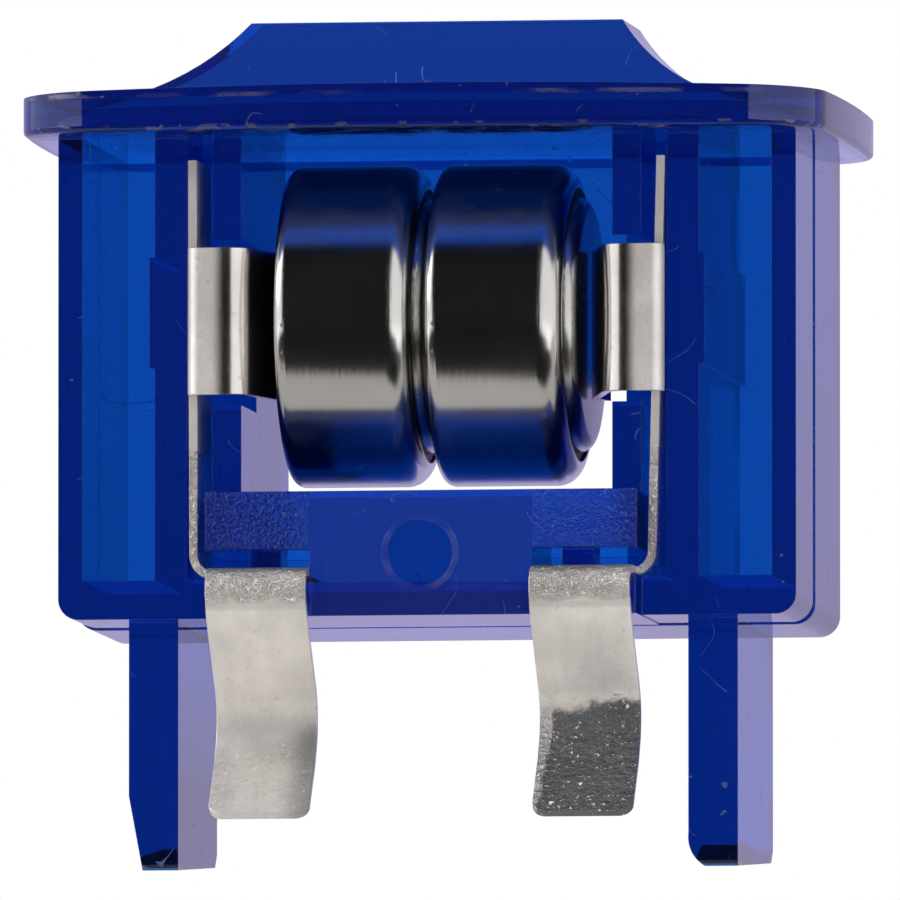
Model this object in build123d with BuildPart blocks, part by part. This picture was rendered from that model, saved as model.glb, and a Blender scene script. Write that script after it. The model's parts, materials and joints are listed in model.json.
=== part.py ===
"""Plug-in holder for two button cells: a clear moulded housing, two stamped spring contacts and the cells.

Units are millimetres. X runs along the stack of cells, -Y is the open front, +Z is up towards the grip.
The origin is midway between the two legs, at the height of their tips.
"""
import os

from build123d import *

# --- button cell, a standard size that the whole bay follows ---
cell_diameter = 11.6
cell_height = 5.4
can_wall = 0.25
can_corner = 0.45
can_side_height = 4.1
can_rim_height = 4.95
gasket_lip = 0.33
cap_wall = 0.25
cap_corner = 0.5
pellet_height = 1.75
separator_thickness = 0.18
gasket_stand = 0.12
cell_play = 0.02

# --- how the stack of cells sits in its bay ---
stack_gap = 0.06
cell_floor_gap = 0.55
cell_head_gap = 0.75
cell_axis_y = -1.8
wing_space = 1.3

# --- tray of the housing ---
tray_front = -6.2
tray_back = 6.0
back_wall = 0.8
side_wall = 0.93
side_cavity = 2.63
outer_rib = 1.18
inner_rib = 1.05
floor_thickness = 1.45
tray_corner = 0.75
tray_parting = -1.1
parting_step = 0.05
rib_swell = 0.2
rib_swell_height = 4.0
window_height = 4.6

# --- cross bar under the cells ---
bar_front = -7.9
bar_depth = 6.3
bar_height = 4.5
bar_centre_half = 4.0
bar_end = 0.03
foot_recess = 0.95
pin_mark_radius = 1.4
pin_mark_rim = 0.22
pin_mark_depth = 0.14
nub_width = 1.15
nub_inset = 1.1
nub_depth = 1.6
nub_setback = 1.2

# --- cover plate and grip ---
plate_length = 29.5
plate_depth = 20.0
plate_thickness = 1.4
plate_corner = 3.0
plate_bow = 0.7
plate_end_bow = 0.35
plate_crown = 0.22
plate_edge = 0.22
grip_half_length = 6.75
grip_height = 2.95
grip_flare_left = 7.0
grip_flare_right = 5.2
grip_depth = 5.4
grip_draft = 5
grip_centre_y = -1.1

# --- legs ---
leg_length = 8.9
leg_thickness = 1.8
leg_inner_half = 9.26
leg_front = -4.5
leg_back = 5.4
leg_tip_slope = 0.65
leg_taper_height = 2.7
leg_taper_width = 0.5
leg_tip_radius = 1.2
leg_heel = 0.5

# --- stamped spring contact ---
sheet = 0.3
strip_play = 0.05
strip_width = 3.6
strip_front = -6.3
strip_head_gap = 0.8
strip_bend = 0.75
slot_depth = 3.9
slot_width = 0.92
wing_height = 5.3
wing_centre_z = 19.65
wing_face_y = -6.65
wing_bend = 0.3
wing_turn = 0.75
wing_touch_gap = 0.06
wing_reach = 4.1
wing_lean = 1.0
wing_notch = 0.35
leaf_width = 3.65
leaf_gap = 0.03
leaf_bend = 0.68
leaf_stand = 1.1
leaf_slant = 0.1
leaf_knee_drop = 1.6
leaf_knee = 2.6
leaf_crest_y = -5.2
leaf_crest_z = 5.5
leaf_crest = 1.7
leaf_crease_z = 3.7
leaf_crease_set = 1.05
leaf_crease = 0.7
leaf_tip_z = 1.7
leaf_corner = 0.5
strip_lean = {"left": 0.05, "right": 0.33}

# --- levels and positions that follow ---
tray_bottom = leg_length
floor_top = tray_bottom + floor_thickness
bar_top = tray_bottom + bar_height
cell_radius = cell_diameter / 2
cell_rim_radius = cell_radius - (can_rim_height - can_side_height)
gasket_lip_radius = cell_rim_radius - cell_play
cap_radius = gasket_lip_radius - gasket_lip
cell_axis_z = bar_top + cell_floor_gap + cell_radius
plate_bottom = cell_axis_z + cell_radius + cell_head_gap
plate_top = plate_bottom + plate_thickness
tray_height = plate_bottom - tray_bottom
stack_half = cell_height + stack_gap / 2
bay_half = stack_half + wing_space
slot_inner = bay_half + inner_rib
slot_outer = slot_inner + slot_width
rib_outer = slot_outer + outer_rib
cavity_outer = rib_outer + side_cavity
tray_half = cavity_outer + side_wall
back_inner = tray_back - back_wall
slot_back = tray_front + slot_depth
bar_back = bar_front + bar_depth
bar_half = slot_inner + bar_end
recess_top = floor_top + foot_recess
wing_bottom = wing_centre_z - wing_height / 2
wing_top = wing_centre_z + wing_height / 2
strip_x = slot_outer - strip_play - sheet / 2
strip_top = plate_bottom - strip_head_gap
strip_back = strip_front + strip_width
leaf_start = bar_front
leaf_inner = bar_centre_half + 0.04
leaf_mid = leaf_inner + leaf_width / 2
foot_z = floor_top + sheet / 2

os.makedirs("parts", exist_ok=True)

SIDES = {"left": -1, "right": 1}


def front_plane(y):
    """Plane at depth y whose x runs along X and whose y runs up; extruding moves towards the open front."""
    return Plane.XZ.offset(-y)


def save(part, name):
    """Labels a finished piece and writes it to its own file."""
    part.label = name
    export_step(part, f"parts/{name}.step")


def opening(low, high, front, back):
    """Cuts a box seen from the front: low and high are its (x, z) corners, front and back its depths."""
    with BuildSketch(front_plane(back)) as cut:
        with Locations(((low[0] + high[0]) / 2, (low[1] + high[1]) / 2)):
            Rectangle(high[0] - low[0], high[1] - low[1])
    extrude(cut.sketch, amount=back - front, mode=Mode.SUBTRACT)


def both_sides(inner, outer, bottom, top, front, back):
    """Cuts the same box on the left and on the right of the middle."""
    for side in SIDES.values():
        low, high = sorted((side * inner, side * outer))
        opening((low, bottom), (high, top), front, back)


def plate_outline(half_length, half_depth):
    """Outline of the cover plate, whose four edges bow outwards."""
    x = half_length - plate_end_bow
    y = half_depth - plate_bow
    with BuildLine() as outline:
        ThreePointArc((-x, -y), (0, -half_depth), (x, -y))
        ThreePointArc((x, -y), (half_length, 0), (x, y))
        ThreePointArc((x, y), (0, half_depth), (-x, y))
        ThreePointArc((-x, y), (-half_length, 0), (-x, -y))
    make_face(outline.edges())


def tray_shell(back, front, inset):
    """Adds one mould half of the tray: its ends and bottom lie inset from the full size."""
    with BuildSketch(front_plane(back)) as face:
        with Locations((0, tray_bottom + inset + (tray_height - inset) / 2)):
            Rectangle(2 * (tray_half - inset), tray_height - inset)
        fillet(face.vertices().group_by(Axis.Y)[0], tray_corner)
    extrude(face.sketch, amount=back - front)


def leg_outline(middle, side):
    """Front view of a leg: the left one tapers at its tip and the right one has a rounded corner."""
    left, right = middle - leg_thickness / 2, middle + leg_thickness / 2
    top = tray_bottom + tray_corner + parting_step
    if side < 0:
        Polyline(
            (left, top),
            (left, leg_taper_height),
            (left + leg_taper_width, 0),
            (right, 0),
            (right, top),
            (left, top),
        )
    else:
        Line((left, top), (left, leg_tip_radius))
        RadiusArc((left, leg_tip_radius), (left + leg_tip_radius / 2, 0), -leg_tip_radius)
        Polyline((left + leg_tip_radius / 2, 0), (right, 0), (right, top), (left, top))


# --- grip: a fin along the plate whose ends sweep out in hollow curves ---
grip_foot = plate_top - plate_thickness / 2
grip_top = plate_top + grip_height
with BuildPart() as grip:
    with BuildSketch(front_plane(grip_centre_y + grip_depth / 2)):
        with BuildLine():
            Line((-grip_half_length, grip_top), (grip_half_length, grip_top))
            TangentArc(
                (grip_half_length + grip_flare_right, plate_top),
                (grip_half_length, grip_top),
                tangent=(-1, 0),
            )
            TangentArc(
                (-grip_half_length - grip_flare_left, plate_top),
                (-grip_half_length, grip_top),
                tangent=(1, 0),
            )
            Polyline(
                (grip_half_length + grip_flare_right, plate_top),
                (grip_half_length + grip_flare_right, grip_foot),
                (-grip_half_length - grip_flare_left, grip_foot),
                (-grip_half_length - grip_flare_left, plate_top),
            )
        make_face()
    extrude(amount=grip_depth)
    fins = grip.faces().filter_by(Axis.Y)
    draft(fins, Plane.XY.offset(grip_foot), grip_draft)

# --- cover plate, crowned along its length ---
with BuildPart() as plate:
    with BuildSketch(Plane.XY.offset(plate_bottom)):
        plate_outline(plate_length / 2, plate_depth / 2)
    extrude(amount=plate_thickness + plate_crown)
    fillet(plate.edges().filter_by(Axis.Z), plate_corner)
    with BuildSketch(front_plane(plate_depth)):
        with BuildLine():
            ThreePointArc(
                (-plate_length / 2, plate_top),
                (0, plate_top + plate_crown),
                (plate_length / 2, plate_top),
            )
            Line((plate_length / 2, plate_top), (plate_length / 2, plate_bottom))
            Line((plate_length / 2, plate_bottom), (-plate_length / 2, plate_bottom))
            Line((-plate_length / 2, plate_bottom), (-plate_length / 2, plate_top))
        make_face()
    extrude(amount=2 * plate_depth, mode=Mode.INTERSECT)
    rim = plate.faces().filter_by(Plane.XY).sort_by(Axis.Z)[0].outer_wire().edges()
    fillet(rim, plate_edge)

# --- housing: tray, cross bar and legs moulded onto the cover plate ---
with BuildPart() as housing:
    tray_shell(tray_back, tray_parting, 0)
    tray_shell(tray_parting, tray_front, parting_step)

    both_sides(rib_outer, cavity_outer, floor_top, plate_bottom, tray_front, back_inner)
    both_sides(slot_inner, slot_outer, floor_top, plate_bottom, tray_front, slot_back)
    opening((-bay_half, bar_top), (bay_half, plate_bottom), tray_front, back_inner)
    opening(
        (-bay_half, floor_top),
        (bay_half, bar_top + window_height),
        bar_back,
        tray_back,
    )
    both_sides(
        bay_half,
        slot_inner,
        wing_bottom - wing_notch,
        wing_top + wing_notch,
        tray_front,
        slot_back,
    )

    # the cross bar stands forward of the tray
    with BuildSketch(front_plane(bar_back)):
        with Locations((0, tray_bottom + bar_height / 2)):
            Rectangle(2 * bar_half, bar_height)
    extrude(amount=bar_depth)
    both_sides(bar_centre_half, bar_half, floor_top, recess_top, bar_front, slot_back)
    both_sides(bar_half, slot_outer, floor_top, recess_top, tray_front, slot_back)
    both_sides(slot_inner, bar_half, recess_top, bar_top, tray_front, slot_back)

    # round ejector mark on the bar: a shallow dish inside a raised rim
    with BuildSketch(front_plane(bar_front)):
        with Locations((0, tray_bottom + bar_height / 2)):
            Circle(pin_mark_radius)
            Circle(pin_mark_radius - pin_mark_rim, mode=Mode.SUBTRACT)
    extrude(amount=pin_mark_depth / 2)
    with BuildSketch(front_plane(bar_front + pin_mark_depth)):
        with Locations((0, tray_bottom + bar_height / 2)):
            Circle(pin_mark_radius - pin_mark_rim)
    extrude(amount=pin_mark_depth, mode=Mode.SUBTRACT)

    # small nubs under the bar that keep the contact feet down
    nub_x = bar_centre_half + nub_inset + nub_width / 2
    with BuildSketch(Plane.XY.offset(floor_top + sheet + strip_play)):
        with Locations((-nub_x, bar_front + nub_setback), (nub_x, bar_front + nub_setback)):
            Rectangle(nub_width, nub_depth)
    extrude(amount=foot_recess - sheet - strip_play)

    # the outer ribs swell where the wings push
    for side in SIDES.values():
        with BuildSketch(front_plane(back_inner)):
            with Locations((side * (rib_outer + rib_swell / 2), wing_centre_z + wing_notch)):
                Rectangle(rib_swell, rib_swell_height)
        extrude(amount=back_inner - tray_front)

    # legs: the outline in front view, then the tips cut on a slope that rises towards the back
    for side in SIDES.values():
        with BuildSketch(front_plane(leg_back)) as leg_face:
            with BuildLine():
                leg_outline(side * (leg_inner_half + leg_thickness / 2), side)
            make_face()
        extrude(amount=leg_back - leg_front)
    with BuildSketch(Plane.YZ.offset(-tray_half)):
        with BuildLine():
            Polyline(
                (leg_front, 0),
                (leg_back - leg_heel, leg_tip_slope),
                (leg_back, leg_tip_slope + leg_heel),
                (leg_back, -leg_heel),
                (leg_front, -leg_heel),
                close=True,
            )
        make_face()
    extrude(amount=2 * tray_half, mode=Mode.SUBTRACT)

    add(plate.part)
    add(grip.part)
save(housing.part, "housing")


def contact_sheet(side, lean):
    """Front view of the strip and its foot: down the slot, round the bend and in along the floor."""
    top = (side * strip_x, strip_top)
    corner = (side * (strip_x - lean), foot_z)
    with BuildLine() as path:
        FilletPolyline(top, corner, (side * leaf_inner, foot_z), radius=strip_bend)
    trace(path.edges(), line_width=sheet)


def leaf_sheet():
    """Side view of the leaf: over the edge of the bar, down, back to a crest and out again at the tip."""
    with BuildLine() as path:
        FilletPolyline(
            (leaf_start - leaf_gap, foot_z),
            (leaf_start - leaf_stand, foot_z),
            (leaf_start - leaf_stand / 2 + leaf_slant, foot_z - leaf_knee_drop),
            (leaf_crest_y, leaf_crest_z),
            (leaf_crest_y - leaf_crease_set, leaf_crease_z),
            (leaf_start - leaf_slant, leaf_tip_z),
            radius=(leaf_bend, leaf_knee, leaf_crest, leaf_crease),
        )
    trace(path.edges(), line_width=sheet)


def wing_sheet(side):
    """Plan view of the wing: out of the strip, across the front and back in against the end of the cells."""
    touch = stack_half + wing_touch_gap + sheet / 2
    with BuildLine() as path:
        FilletPolyline(
            (side * strip_x, strip_front - leaf_gap),
            (side * strip_x, wing_face_y),
            (side * (touch + wing_lean), wing_face_y),
            (side * touch, wing_face_y + wing_reach),
            (side * (touch + 0.3), wing_face_y + wing_reach + 1.0),
            radius=(wing_bend, wing_turn, 0.6),
        )
    trace(path.edges(), line_width=sheet)


for name, side in SIDES.items():
    with BuildPart() as strip:
        with BuildSketch(front_plane(strip_back)):
            contact_sheet(side, strip_lean[name])
        extrude(amount=strip_width)
        with BuildSketch(Plane.XY.offset(floor_top)):
            with Locations((side * leaf_mid, (leaf_start + strip_front) / 2)):
                Rectangle(leaf_width, strip_front - leaf_start)
        extrude(amount=sheet)
    save(strip.part, f"contact_{name}_strip")

    with BuildPart() as wing:
        with BuildSketch(Plane.XY.offset(wing_bottom)):
            wing_sheet(side)
        extrude(amount=wing_height)
    save(wing.part, f"contact_{name}_wing")

    with BuildPart() as leaf:
        with BuildSketch(Plane.YZ.offset(side * leaf_mid)):
            leaf_sheet()
        extrude(amount=leaf_width / 2, both=True)
        corners = leaf.edges().filter_by(lambda e: abs(e.length - sheet) < 1e-3).group_by(Axis.Z)[0]
        fillet(corners, leaf_corner)
    save(leaf.part, f"contact_{name}_leaf")


def cell_plane(base_x):
    """Plane through the axis of a cell: x runs along the axis from its base, y is the radius."""
    return Plane(origin=(base_x, cell_axis_y, cell_axis_z), x_dir=(1, 0, 0), z_dir=(0, -1, 0))


def turned(name, base_x, outline):
    """Turns a closed outline about the axis of the cell that starts at base_x."""
    with BuildPart() as piece:
        with BuildSketch(cell_plane(base_x)):
            with BuildLine():
                outline()
            make_face()
        revolve(axis=Axis((base_x, cell_axis_y, cell_axis_z), (1, 0, 0)))
    save(piece.part, name)


def can_outline():
    """Positive can: flat base, straight side, and a rim crimped inwards."""
    turn = cell_radius - cell_rim_radius
    inside = cell_radius - can_wall
    Line((0, 0), (0, cell_radius - can_corner))
    RadiusArc((0, cell_radius - can_corner), (can_corner, cell_radius), can_corner)
    Line((can_corner, cell_radius), (can_side_height, cell_radius))
    RadiusArc((can_side_height, cell_radius), (can_rim_height, cell_rim_radius), turn)
    Line((can_rim_height, cell_rim_radius), (can_rim_height - can_wall, cell_rim_radius))
    RadiusArc(
        (can_rim_height - can_wall, cell_rim_radius),
        (can_side_height, inside),
        -(turn - can_wall),
    )
    Polyline((can_side_height, inside), (can_wall, inside), (can_wall, 0), (0, 0))


def disc_outline(low, high, radius):
    """Plain disc between two heights in the cell."""
    return lambda: Polyline((low, 0), (low, radius), (high, radius), (high, 0), close=True)


def gasket_outline():
    """Sealing ring between the can and the cap, with a lip that stands in the gap at the rim."""
    outer = cell_radius - can_wall - cell_play
    lip = gasket_lip_radius
    turn = outer - lip
    inner = cap_radius + cell_play
    Polyline((gasket_low, inner), (gasket_low, outer), (can_side_height, outer))
    RadiusArc((can_side_height, outer), (can_side_height + turn, lip), turn)
    Polyline(
        (can_side_height + turn, lip),
        (can_rim_height - gasket_stand, lip),
        (can_rim_height - gasket_stand, inner),
        (gasket_low, inner),
    )


def cap_outline():
    """Negative cap: a shallow cup whose face stands proud of the rim."""
    inside = cap_radius - cap_wall
    Polyline((gasket_low, inside), (gasket_low, cap_radius), (cell_height - cap_corner, cap_radius))
    RadiusArc(
        (cell_height - cap_corner, cap_radius),
        (cell_height, cap_radius - cap_corner),
        cap_corner,
    )
    Polyline(
        (cell_height, cap_radius - cap_corner),
        (cell_height, 0),
        (cell_height - cap_wall, 0),
        (cell_height - cap_wall, inside),
        (gasket_low, inside),
    )


pellet_low = can_wall + cell_play
pellet_high = pellet_low + pellet_height
separator_high = pellet_high + cell_play + separator_thickness
gasket_low = separator_high + cell_play
filling_radius = cell_radius - can_wall - cell_play
gel_radius = cap_radius - cap_wall - cell_play

for name, base_x in {"left": -stack_half, "right": stack_gap / 2}.items():
    turned(f"{name}_positive_can", base_x, can_outline)
    turned(f"{name}_cathode_pellet", base_x, disc_outline(pellet_low, pellet_high, filling_radius))
    turned(
        f"{name}_separator",
        base_x,
        disc_outline(pellet_high + cell_play, separator_high, filling_radius),
    )
    turned(f"{name}_gasket", base_x, gasket_outline)
    turned(f"{name}_negative_cap", base_x, cap_outline)
    turned(
        f"{name}_anode_gel",
        base_x,
        disc_outline(gasket_low, cell_height - cap_wall - cell_play, gel_radius),
    )
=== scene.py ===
"""Looks of a plug-in holder for two button cells.

A clear blue moulded housing carries two steel button cells end to end, held between two stamped
spring contacts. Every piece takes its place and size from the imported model.
"""
from __future__ import annotations

import json
import logging
import math
from dataclasses import dataclass
from enum import Enum

import bmesh
import bpy
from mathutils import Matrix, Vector

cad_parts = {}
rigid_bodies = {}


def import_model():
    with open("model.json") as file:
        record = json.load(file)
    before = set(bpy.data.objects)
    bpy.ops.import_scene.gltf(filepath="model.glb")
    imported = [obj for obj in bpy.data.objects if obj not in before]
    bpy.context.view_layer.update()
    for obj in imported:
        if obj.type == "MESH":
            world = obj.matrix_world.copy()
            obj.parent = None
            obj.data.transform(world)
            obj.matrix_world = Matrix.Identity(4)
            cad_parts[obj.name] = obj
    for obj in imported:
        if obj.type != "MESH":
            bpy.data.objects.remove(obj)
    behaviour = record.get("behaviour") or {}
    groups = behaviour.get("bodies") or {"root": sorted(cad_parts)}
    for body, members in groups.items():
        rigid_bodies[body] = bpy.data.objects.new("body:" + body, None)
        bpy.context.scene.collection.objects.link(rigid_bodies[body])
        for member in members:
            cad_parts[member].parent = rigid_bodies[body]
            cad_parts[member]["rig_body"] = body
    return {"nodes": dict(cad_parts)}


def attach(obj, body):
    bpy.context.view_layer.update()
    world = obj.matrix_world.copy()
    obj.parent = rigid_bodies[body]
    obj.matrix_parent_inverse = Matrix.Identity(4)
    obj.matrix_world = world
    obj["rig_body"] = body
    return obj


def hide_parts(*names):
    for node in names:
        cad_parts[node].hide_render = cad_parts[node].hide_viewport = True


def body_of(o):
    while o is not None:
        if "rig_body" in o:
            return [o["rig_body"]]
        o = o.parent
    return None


MM = 0.001
Triple = tuple[float, float, float]
WELD = 0.0004 * MM
FLAT_ANGLE = math.radians(0.5)
SHARP_ANGLE = math.radians(32)
LOG = logging.getLogger("cell_holder")


class Side(Enum):
    """The two ends of the stack of cells."""

    LEFT = "left"
    RIGHT = "right"


class Studio(Enum):
    """What a staged surface does in the studio."""

    FLOOR = "floor"
    CARD = "card"
    HOOD = "hood"


class Value:
    """A number in a node tree, usable in Python expressions."""

    def __init__(self, graph: "Graph", socket: bpy.types.NodeSocket) -> None:
        """Wraps an output socket of the graph."""
        self.graph = graph
        self.socket = socket

    def _math(self, operation: str, first: "Value | float", second: "Value | float") -> "Value":
        """Adds one Math node.

        Args:
            operation: the node's operation.
            first: its first operand.
            second: its second operand.

        Returns:
            The result as a new value.
        """
        node = self.graph.node("ShaderNodeMath", {"operation": operation}, {0: first, 1: second})
        return Value(self.graph, node.outputs[0])

    def __add__(self, other: "Value | float") -> "Value":
        """Sum."""
        return self._math("ADD", self, other)

    __radd__ = __add__

    def __sub__(self, other: "Value | float") -> "Value":
        """Difference."""
        return self._math("SUBTRACT", self, other)

    def __rsub__(self, other: float) -> "Value":
        """Difference from a plain number."""
        return self._math("SUBTRACT", other, self)

    def __mul__(self, other: "Value | float") -> "Value":
        """Product."""
        return self._math("MULTIPLY", self, other)

    __rmul__ = __mul__

    def above(self, limit: float) -> "Value":
        """One where the value is above the limit, else zero."""
        return self._math("GREATER_THAN", self, limit)

    def smooth(self, low: float, high: float) -> "Value":
        """Zero below low, one above high and a smooth step between them."""
        ranges = {"From Min": low, "From Max": high, "Value": self}
        node = self.graph.node("ShaderNodeMapRange", {"interpolation_type": "SMOOTHSTEP"}, ranges)
        return Value(self.graph, node.outputs[0])

    def between(self, low: float, high: float, edge: float) -> "Value":
        """One between two limits, zero outside, with soft edges."""
        return self.smooth(low - edge, low + edge) * (1 - self.smooth(high - edge, high + edge))


class Graph:
    """One material's node tree."""

    def __init__(self, name: str) -> None:
        """Starts an empty tree with its output node."""
        self.material = bpy.data.materials.new(name)
        self.material.use_nodes = True
        self.tree = self.material.node_tree
        self.tree.nodes.clear()
        self.output = self.node("ShaderNodeOutputMaterial")

    def node(self, kind: str, settings: dict | None = None, sockets: dict | None = None) -> bpy.types.Node:
        """Adds any node.

        Args:
            kind: the node's type.
            settings: its properties, set before its sockets.
            sockets: the value or link of each input socket, by name or number.

        Returns:
            The new node.
        """
        node = self.tree.nodes.new(kind)
        for key, setting in (settings or {}).items():
            setattr(node, key, setting)
        for key, given in (sockets or {}).items():
            self.feed(node.inputs[key], given)
        return node

    def feed(self, socket: bpy.types.NodeSocket, given: object) -> None:
        """Links a socket to a value or an output, or sets it to a plain number or colour."""
        if isinstance(given, Value):
            given = given.socket
        if isinstance(given, bpy.types.NodeSocket):
            self.tree.links.new(given, socket)
        else:
            socket.default_value = given

    def place(self) -> tuple[Value, Value, Value]:
        """The point on the piece along X, Y and Z, in metres."""
        node = self.node("ShaderNodeSeparateXYZ", None, {0: self.coordinates()})
        return tuple(Value(self, output) for output in node.outputs)

    def coordinates(self, scale: Triple = (1, 1, 1)) -> bpy.types.NodeSocket:
        """Object coordinates, stretched along each axis."""
        source = self.node("ShaderNodeTexCoord").outputs["Object"]
        stretch = self.node("ShaderNodeVectorMath", {"operation": "MULTIPLY"}, {0: source, 1: scale})
        return stretch.outputs[0]

    def noise(
        self, scale: float, detail: float = 4, stretch: Triple = (1, 1, 1), rough: float = 0.5
    ) -> Value:
        """Fractal noise over the piece.

        Args:
            scale: features per metre.
            detail: octaves.
            stretch: how much the pattern is squeezed along each axis.
            rough: how strong the fine octaves are.

        Returns:
            A value from about 0.2 to 0.8.
        """
        place = self.coordinates(stretch)
        sockets = {"Vector": place, "Scale": scale, "Detail": detail, "Roughness": rough}
        return Value(self, self.node("ShaderNodeTexNoise", None, sockets).outputs[0])

    def bump(self, height: Value, distance: float, strength: float = 1.0) -> bpy.types.NodeSocket:
        """A bumped normal for a height that runs from 0 to 1 over the distance."""
        sockets = {"Height": height, "Distance": distance, "Strength": strength}
        return self.node("ShaderNodeBump", None, sockets).outputs[0]

    def mix(self, factor: Value, first: object, second: object) -> bpy.types.NodeSocket:
        """Mixes two colours."""
        node = self.node("ShaderNodeMix", {"data_type": "RGBA"}, {0: factor, 6: first, 7: second})
        return node.outputs[2]

    def surface(self, **sockets: object) -> bpy.types.Material:
        """Ends the tree in a Principled shader.

        Args:
            sockets: its inputs, with underscores for spaces.

        Returns:
            The finished material.
        """
        named = {key.replace("_", " "): given for key, given in sockets.items()}
        shader = self.node("ShaderNodeBsdfPrincipled", None, named)
        self.feed(self.output.inputs["Surface"], shader.outputs[0])
        return self.material


@dataclass(frozen=True)
class ClearBlue:
    """Clear moulded plastic, dyed blue through its whole depth."""

    tint: Triple = (0.006, 0.078, 0.47)
    passed: Triple = (0.50, 0.85, 0.925)
    depth: float = 1.0 * MM
    ior: float = 1.56
    bar_low: float = 8.8 * MM
    bar_top: float = 13.45 * MM
    bar_front: float = -7.5 * MM
    grain_low: float = 11.3 * MM
    middle_half: float = 4.05 * MM
    zone_edge: float = 0.02 * MM
    grip_low: float = 28.0 * MM
    worn_edge: float = 27.56 * MM
    low_edge: float = 26.4 * MM
    plate_front: float = -6 * MM
    mark_height: float = 11.15 * MM
    mark_inner: float = 1.18 * MM
    mark_outer: float = 1.40 * MM
    relief: float = 0.04 * MM

    def make(self) -> bpy.types.Material:
        """Polished faces with fine scratches, and a grained and a satin part on the bar and grip."""
        graph = Graph("clear_blue")
        x, y, z = graph.place()
        front = 1 - y.above(self.bar_front)
        off_middle = (x * x).above(self.middle_half ** 2)
        grained = off_middle * z.between(self.grain_low, self.bar_top, self.zone_edge) * front
        middle = (1 - off_middle) * z.between(self.bar_low, self.bar_top, self.zone_edge) * front
        across = z - self.mark_height
        reach = x * x + across * across
        dish = (1 - reach.above(self.mark_inner ** 2)) * front
        rim = reach.above(self.mark_inner ** 2) * (1 - reach.above(self.mark_outer ** 2)) * front
        satin = middle * (1 - dish * 0.9) + z.above(self.grip_low)
        grain = graph.noise(6500, 2, rough=0.7)
        peel = graph.noise(1500, 3)
        flow = graph.noise(160, 2, (1, 1, 0.35))
        scuffs = self._scuffs(graph, y, z, rim)
        height = grained * grain * 2 + flow * 0.03 + satin * peel * 0.08 + scuffs * 0.5
        self._fill(graph)
        return graph.surface(
            Base_Color=(*self.tint, 1),
            Transmission_Weight=0.96,
            IOR=self.ior,
            Roughness=0.02 + grained * 0.1 + scuffs * 0.4,
            Coat_Weight=satin * 0.11 + scuffs * 0.8 + 0.012,
            Coat_Roughness=0.5,
            Coat_IOR=2.2,
            Normal=graph.bump(height, self.relief),
        )

    def _scuffs(self, graph: Graph, y: Value, z: Value, rim: Value) -> Value:
        """Finds where handling has marked the plastic.

        Args:
            graph: the material's tree.
            y: the point's place from front to back.
            z: its height.
            rim: one on the rim of the round moulding mark.

        Returns:
            One on hair scratches, nicks and rubbed edges, and zero elsewhere.
        """
        patches = graph.noise(130, 2).smooth(0.5, 0.6)
        short = graph.noise(620, 0).smooth(0.64, 0.68)
        hairs = graph.noise(380, 1).between(0.5, 0.5035, 0.0012) * short
        specks = graph.noise(2600, 1).smooth(0.74, 0.78) * patches
        rubbing = graph.noise(1400, 3, (0.4, 1, 1)).smooth(0.42, 0.6)
        stretches = graph.noise(90, 1).smooth(0.4, 0.5)
        nicks = graph.noise(2300, 2, (0.6, 1, 1)).smooth(0.56, 0.62)
        top_line = z.between(self.worn_edge - 0.06 * MM, self.worn_edge + 0.1 * MM, 0.03 * MM)
        low_line = z.between(self.low_edge - 0.1 * MM, self.low_edge + 0.12 * MM, 0.05 * MM)
        worn = top_line * rubbing * stretches + low_line * nicks
        return hairs + specks + worn * (1 - y.above(self.plate_front)) + rim * rubbing * 0.6

    def _fill(self, graph: Graph) -> None:
        """Dyes the inside, so that thick parts are darker than thin ones."""
        absorbed = [-math.log(share) for share in self.passed]
        most = max(absorbed)
        kept = tuple(1 - part / most for part in absorbed)
        sockets = {"Color": (*kept, 1), "Density": most / self.depth}
        volume = graph.node("ShaderNodeVolumeAbsorption", None, sockets)
        graph.feed(graph.output.inputs["Volume"], volume.outputs[0])


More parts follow.
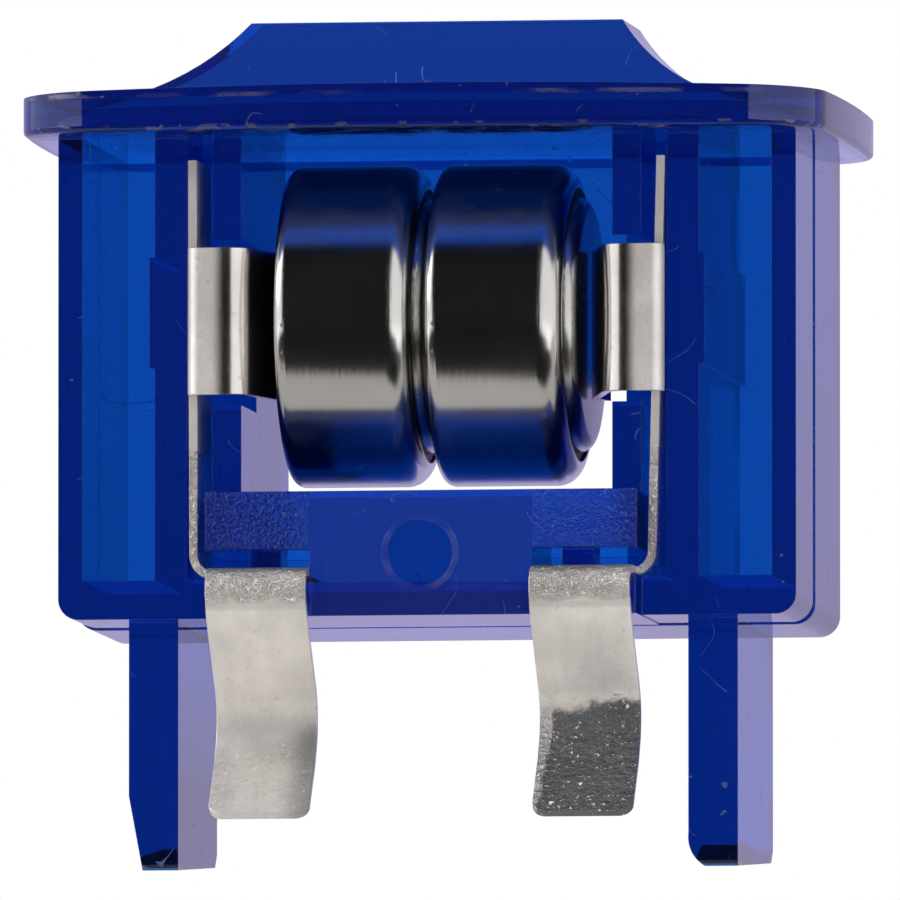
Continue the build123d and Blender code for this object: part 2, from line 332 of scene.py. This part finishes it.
@dataclass(frozen=True)
class TinnedSheet:
    """Pale matt plating on stamped spring strip, rubbed bright where it bears on a cell."""

    colour: Triple = (0.90, 0.85, 0.81)
    # the colour of the pits, also used for the painted shade under the top bend
    pit_and_crease_shade_colour: Triple = (0.3, 0.29, 0.28)
    # the colour of the dark patch painted low on the right leaf
    dark_patch_colour: Triple = (0.17, 0.18, 0.19)
    # the colour of the painted highlight glints
    painted_glint_colour: Triple = (1, 0.98, 0.95)
    rubbed_half: float = 7.5 * MM
    wing_low: float = 15.0 * MM
    crown_low: float = 9.35 * MM
    dark_patch_top: float = 5.0 * MM
    dark_patch_left: float = 4.0 * MM
    corner_left: float = -5.4 * MM
    corner_right: float = -4.2 * MM
    relief: float = 0.035 * MM

    def make(self) -> bpy.types.Material:
        """Pale metal with a fine sparkle and small pits, hammered where it was bent; glints, a crease
        shade and a dark patch are painted in.
        """
        graph = Graph("tinned_sheet")
        x, _, z = graph.place()
        cloud = graph.noise(420, 5, rough=0.6)
        sparkle = graph.noise(5200, 3, rough=0.8)
        hammered = graph.noise(3000, 4, (1, 1, 1.5), rough=0.65)
        pits = graph.noise(2900, 3, rough=0.7).smooth(0.62, 0.7)
        ragged = graph.noise(900, 5, rough=0.7)
        streaks = graph.noise(1300, 4, (1, 0.2, 0.2), rough=0.65).smooth(0.3, 0.7)
        on_leaf = 1 - z.above(self.wing_low)
        inner, outer = self.rubbed_half - 0.25 * MM, self.rubbed_half + 0.25 * MM
        rubbed = (1 - (x * x).smooth(inner ** 2, outer ** 2)) * (1 - on_leaf)
        right = x.above(0)
        level = z + (ragged - 0.5) * (1.1 * MM) - x * 0.12
        # A dark patch painted into the colour low on the right leaf, with a weaker one low on the inner
        # side of the left leaf.
        dark_patch = self._dark_patch(x, z, level, ragged) * (0.72 + cloud * 0.4) + self._corner(x, level) * 0.6
        fold = z + (ragged - 0.5) * (0.4 * MM)
        bent = fold.smooth(self.crown_low - 0.1 * MM, self.crown_low + 0.1 * MM) * on_leaf
        # Painted shade: a darker line painted just under the top bend of each leaf.
        painted_crease_shade = z.between(self.crown_low - 0.25 * MM, self.crown_low, 0.08 * MM) * on_leaf
        above_tip = level.smooth(self.dark_patch_top - 0.6 * MM, self.dark_patch_top + 0.6 * MM)
        glitter = bent * 0.8 + (1 - above_tip) * (0.35 + right * 0.65)
        # Painted highlights: bright specks painted into the colour, mostly on the top bend and low on the
        # leaves.
        painted_glints = (sparkle + hammered * 0.6).smooth(0.94, 1.0) * (glitter * 0.9 + 0.1)
        dull = tuple(0.78 * part for part in self.colour)
        tone = graph.mix(cloud.smooth(0.35, 0.65) * 0.6 + streaks * 0.4, (*dull, 1), (*self.colour, 1))
        tone = graph.mix(pits * 0.25 + painted_crease_shade * 0.3, tone, (*self.pit_and_crease_shade_colour, 1))
        tone = graph.mix(dark_patch, tone, (*self.dark_patch_colour, 1))
        tone = graph.mix(painted_glints, tone, (*self.painted_glint_colour, 1))
        height = sparkle * 0.5 + hammered * (glitter * 4 + 0.2) + cloud * 0.35 - pits * 0.2
        return graph.surface(
            Base_Color=tone,
            Metallic=0.64 + rubbed * 0.36 + glitter * 0.3 - painted_glints * 0.5,
            Roughness=0.36 + cloud * 0.12 - rubbed * 0.2 - glitter * 0.22,
            Normal=graph.bump(height * (1 - rubbed * 0.85), self.relief),
        )

    def _dark_patch(self, x: Value, z: Value, level: Value, ragged: Value) -> Value:
        """Finds the dark patch painted on the lower half of the right leaf.

        Args:
            x: the point's place from left to right.
            z: its height.
            level: its height with a ragged offset.
            ragged: the noise that breaks the dark patch's edges.

        Returns:
            One on the dark patch and zero elsewhere.
        """
        low = 1 - level.smooth(self.dark_patch_top - 0.14 * MM, self.dark_patch_top + 0.14 * MM)
        side = x + (ragged - 0.5) * (0.6 * MM) - z * 0.08
        return x.above(0) * low * side.smooth(self.dark_patch_left, self.dark_patch_left + 0.15 * MM)

    def _corner(self, x: Value, level: Value) -> Value:
        """A darker patch painted low on the inner side of the left leaf."""
        low = 1 - level.smooth(self.dark_patch_top, self.dark_patch_top + 1 * MM)
        return (1 - x.above(0)) * low * x.smooth(self.corner_left, self.corner_right)


@dataclass(frozen=True)
class CellSteel:
    """Nickel-plated deep-drawn steel, with fine marks round the axis of the cell."""

    name: str = "can_steel"
    colour: Triple = (0.70, 0.69, 0.67)
    gloss: float = 0.12
    relief: float = 0.007 * MM

    def make(self) -> bpy.types.Material:
        """Bright steel with drawing marks."""
        graph = Graph(self.name)
        drawn = graph.noise(900, 5, (9, 0.6, 0.6), rough=0.7)
        smudge = graph.noise(260, 4)
        dull = tuple(0.9 * part for part in self.colour)
        tone = graph.mix(smudge.smooth(0.3, 0.7), (*dull, 1), (*self.colour, 1))
        return graph.surface(
            Base_Color=tone,
            Metallic=1.0,
            Roughness=self.gloss - 0.03 + smudge * 0.08 + drawn * 0.1,
            Normal=graph.bump(drawn, self.relief),
        )


@dataclass(frozen=True)
class DullSolid:
    """A matt, slightly mottled solid, for seals and fillings."""

    name: str
    colour: Triple
    rough: float = 0.6
    grain: float = 2500
    relief: float = 0.02 * MM

    def make(self) -> bpy.types.Material:
        """One tone with a fine grain."""
        graph = Graph(self.name)
        grain = graph.noise(self.grain, 3)
        dark = tuple(0.7 * part for part in self.colour)
        return graph.surface(
            Base_Color=graph.mix(grain, (*dark, 1), (*self.colour, 1)),
            Roughness=self.rough,
            Normal=graph.bump(grain, self.relief),
        )


class Finishes:
    """Every material of the holder, made once."""

    def __init__(self) -> None:
        """Makes the materials."""
        self.housing = ClearBlue().make()
        self.sheet = TinnedSheet().make()
        self.can = CellSteel().make()
        self.cap = CellSteel("cap_steel", (0.62, 0.61, 0.60), 0.2).make()
        self.seal = DullSolid("seal", (0.03, 0.03, 0.035), 0.45).make()
        self.pellet = DullSolid("pellet", (0.05, 0.05, 0.05), 0.8).make()
        self.paper = DullSolid("paper", (0.86, 0.85, 0.80), 0.9).make()
        self.gel = DullSolid("gel", (0.42, 0.43, 0.45), 0.35).make()


def dress(piece: bpy.types.Object, material: bpy.types.Material) -> None:
    """Gives a piece one material all over."""
    piece.data.materials.clear()
    piece.data.materials.append(material)


def softened_copy(node: str, name: str, edge: float, segments: int = 2) -> bpy.types.Object:
    """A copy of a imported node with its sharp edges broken, which stands for the node.

    Args:
        node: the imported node.
        name: the new piece's name.
        edge: how wide the broken edge is, in metres.
        segments: how many facets round it off.

    Returns:
        The new piece.
    """
    source = frame["nodes"][node]
    piece = bpy.data.objects.new(name, source.data.copy())
    bpy.context.scene.collection.objects.link(piece)
    if "custom_normal" in piece.data.attributes:
        piece.data.attributes.remove(piece.data.attributes["custom_normal"])
    shell = bmesh.new()
    shell.from_mesh(piece.data)
    bmesh.ops.remove_doubles(shell, verts=shell.verts, dist=WELD)
    bmesh.ops.dissolve_limit(shell, angle_limit=FLAT_ANGLE, verts=shell.verts, edges=shell.edges)
    for face in shell.faces:
        face.smooth = True
    shell.to_mesh(piece.data)
    shell.free()
    bevel = piece.modifiers.new("broken_edges", "BEVEL")
    bevel.width = edge
    bevel.segments = segments
    bevel.limit_method = "ANGLE"
    bevel.angle_limit = SHARP_ANGLE
    bevel.harden_normals = True
    bevel.use_clamp_overlap = True
    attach(piece, body_of(source)[0])
    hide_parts(node)
    return piece


@dataclass
class Housing:
    """The clear moulding that holds everything."""

    edge: float = 0.07 * MM

    def build(self, finishes: Finishes) -> None:
        """Makes the moulding with soft edges and dresses it."""
        piece = softened_copy("housing", "housing_moulding", self.edge)
        dress(piece, finishes.housing)
        LOG.info("housing: %d faces", len(piece.data.polygons))


@dataclass
class Contact:
    """One stamped spring contact: strip, wing and leaf."""

    side: Side
    edge: float = 0.035 * MM

    def build(self, finishes: Finishes) -> None:
        """Makes the three parts of the contact and dresses them."""
        for part in ("strip", "wing", "leaf"):
            node = f"contact_{self.side.value}_{part}"
            piece = softened_copy(node, f"{self.side.value}_spring_{part}", self.edge)
            dress(piece, finishes.sheet)
            LOG.info("%s", piece.name)


@dataclass
class Cell:
    """One button cell."""

    side: Side

    def build(self, finishes: Finishes) -> None:
        """Dresses the cell's six pieces."""
        slots = {
            "positive_can": finishes.can,
            "negative_cap": finishes.cap,
            "gasket": finishes.seal,
            "cathode_pellet": finishes.pellet,
            "separator": finishes.paper,
            "anode_gel": finishes.gel,
        }
        for part, material in slots.items():
            piece = frame["nodes"][f"{self.side.value}_{part}"]
            dress(piece, material)
            LOG.info("%s", piece.name)


@dataclass
class Room:
    """Floor, cards, lamps, world and camera."""

    view_turn: float = 7.8
    view_rise: float = -4.1
    distance: float = 1.4
    view_width: float = 32.5 * MM
    view_centre: Triple = (0.0, 0.0, 15.4 * MM)
    floor_half: float = 0.6
    floor_colour: Triple = (0.9, 0.9, 0.9)
    card_distance: float = 0.22
    card_rise: float = 62.0
    card_steps: int = 20
    card_middle: float = -0.03
    card_half_width: float = 0.09
    card_near: float = -28 * MM
    card_slant: float = 12 * MM
    card_height: float = 0.3 * MM
    card_colour: Triple = (0.004, 0.004, 0.004)
    wide_half: float = 0.5
    wide_height: float = 0.2 * MM
    back_distance: float = 0.3
    back_colour: Triple = (0.50, 0.46, 0.74)
    table_near: float = -40 * MM
    table_colour: Triple = (0.52, 0.50, 0.48)
    hood_near: float = -0.07
    hood_height: float = 0.25
    hood_colour: Triple = (0.10, 0.10, 0.12)

    def build(self) -> None:
        """Sets the room up."""
        self._world()
        self._floor()
        self._front_card()
        self._wide_cards()
        self._lamp("overhead", (0.05, 0.1, 0.6), 0.5, 3.0)
        self._lamp("side_fill", (-0.6, -0.15, 0.35), 0.4, 1.5)
        self._camera()

    def _world(self) -> None:
        """Plain white all round."""
        world = bpy.data.worlds.new("studio")
        world.use_nodes = True
        bpy.context.scene.world = world
        background = world.node_tree.nodes["Background"]
        background.inputs["Color"].default_value = (1, 1, 1, 1)
        background.inputs["Strength"].default_value = 1.0

    def _stage(self, name: str, corners: list, faces: list, use: Studio, colour: Triple) -> None:
        """Adds one staged surface.

        Args:
            name: its name.
            corners: its points, in metres.
            faces: its faces, as numbers of points.
            use: whether it is the floor, a card that only polished surfaces mirror, or a hood that
                is also seen through the clear moulding.
            colour: its red, green and blue, from 0 to 1.
        """
        mesh = bpy.data.meshes.new(name)
        mesh.from_pydata(corners, [], faces)
        sheet = bpy.data.objects.new(name, mesh)
        bpy.context.scene.collection.objects.link(sheet)
        graph = Graph(name)
        if use is Studio.FLOOR:
            below = graph.node("ShaderNodeNewGeometry").outputs["Backfacing"]
            pale = graph.node("ShaderNodeBsdfDiffuse", None, {"Color": (*colour, 1)})
            clear = graph.node("ShaderNodeBsdfTransparent")
            sockets = {0: below, 1: pale.outputs[0], 2: clear.outputs[0]}
            mixed = graph.node("ShaderNodeMixShader", None, sockets)
            graph.feed(graph.output.inputs["Surface"], mixed.outputs[0])
        else:
            level = graph.node("ShaderNodeEmission", None, {"Color": (*colour, 1)})
            graph.feed(graph.output.inputs["Surface"], level.outputs[0])
            hidden = ["camera", "diffuse", "shadow"] + ["transmission"] * (use is Studio.CARD)
            for kind in hidden:
                setattr(sheet, f"visible_{kind}", False)
        mesh.materials.append(graph.material)

    @staticmethod
    def _flat(half: float, near: float, far: float, height: float) -> list[Triple]:
        """The four corners of a level sheet, near ones first."""
        return [(-half, near, height), (half, near, height), (half, far, height), (-half, far, height)]

    def _floor(self) -> None:
        """A pale floor under the leg tips, clear when seen from below."""
        half = self.floor_half
        corners = self._flat(half, -half, half, 0)
        self._stage("floor", corners, [(0, 1, 2, 3)], Studio.FLOOR, self.floor_colour)

    def _front_card(self) -> None:
        """A dark card laid on the floor in front and bent up, which polished fronts mirror.

        Its near edge slants across the width of the cells.
        """
        left, right = self.card_middle - self.card_half_width, self.card_middle + self.card_half_width
        low = self.card_height
        far_edge = self.card_near - self.card_slant / 3
        near_edge = far_edge + self.card_slant
        corners = [(left, far_edge, low), (right, near_edge, low)]
        corners += [(-self.card_slant, far_edge, low), (self.card_slant, near_edge, low)]
        for step in range(self.card_steps + 1):
            rise = math.radians(self.card_rise * step / self.card_steps)
            across, up = self.card_distance * math.cos(rise), self.card_distance * math.sin(rise)
            corners += [(left, -across, low + up), (right, -across, low + up)]
        faces = [(0, 2, 3, 1, 5, 4)]
        faces += [(2 * i, 2 * i + 1, 2 * i + 3, 2 * i + 2) for i in range(2, self.card_steps + 2)]
        self._stage("front_card", corners, faces, Studio.CARD, self.card_colour)

    def _wide_cards(self) -> None:
        """Toned cards behind, under and over the holder, which its sides and the cells mirror."""
        half, back = self.wide_half, self.back_distance
        corners = self._flat(half, 0, back, self.wide_height) + [(-half, back, back), (half, back, back)]
        self._stage("back_card", corners, [(0, 1, 2, 3), (3, 2, 5, 4)], Studio.CARD, self.back_colour)
        corners = self._flat(half, self.table_near, 0, self.wide_height)
        self._stage("table_card", corners, [(0, 1, 2, 3)], Studio.CARD, self.table_colour)
        corners = self._flat(half, self.hood_near, half, self.hood_height)
        self._stage("hood", corners, [(0, 1, 2, 3)], Studio.HOOD, self.hood_colour)

    def _lamp(self, name: str, place: Triple, size: float, power: float) -> None:
        """Adds a soft lamp that points at the holder."""
        lamp = bpy.data.lights.new(name, "AREA")
        lamp.size = size
        lamp.energy = power
        thing = bpy.data.objects.new(name, lamp)
        thing.location = place
        aim = Vector(self.view_centre) - Vector(place)
        thing.rotation_euler = aim.to_track_quat("-Z", "Y").to_euler()
        bpy.context.scene.collection.objects.link(thing)

    def _camera(self) -> None:
        """A long lens a little to the right of the front and a little below."""
        turn, rise = math.radians(self.view_turn), math.radians(self.view_rise)
        level = math.cos(rise)
        away = Vector((math.sin(turn) * level, -math.cos(turn) * level, math.sin(rise)))
        lens = bpy.data.cameras.new("camera")
        lens.lens = lens.sensor_width * self.distance / self.view_width
        lens.clip_start = 0.01
        camera = bpy.data.objects.new("camera", lens)
        camera.location = Vector(self.view_centre) + away * self.distance
        camera.rotation_euler = (-away).to_track_quat("-Z", "Y").to_euler()
        bpy.context.scene.collection.objects.link(camera)
        bpy.context.scene.camera = camera


def main() -> None:
    """Builds and dresses the holder in its room."""
    logging.basicConfig(level=logging.INFO, format="%(message)s")
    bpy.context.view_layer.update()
    bpy.context.scene.view_settings.view_transform = "Standard"
    finishes = Finishes()
    Room().build()
    Housing().build(finishes)
    for side in Side:
        Contact(side).build(finishes)
        Cell(side).build(finishes)


if __name__ == "__main__":
    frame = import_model()
    main()
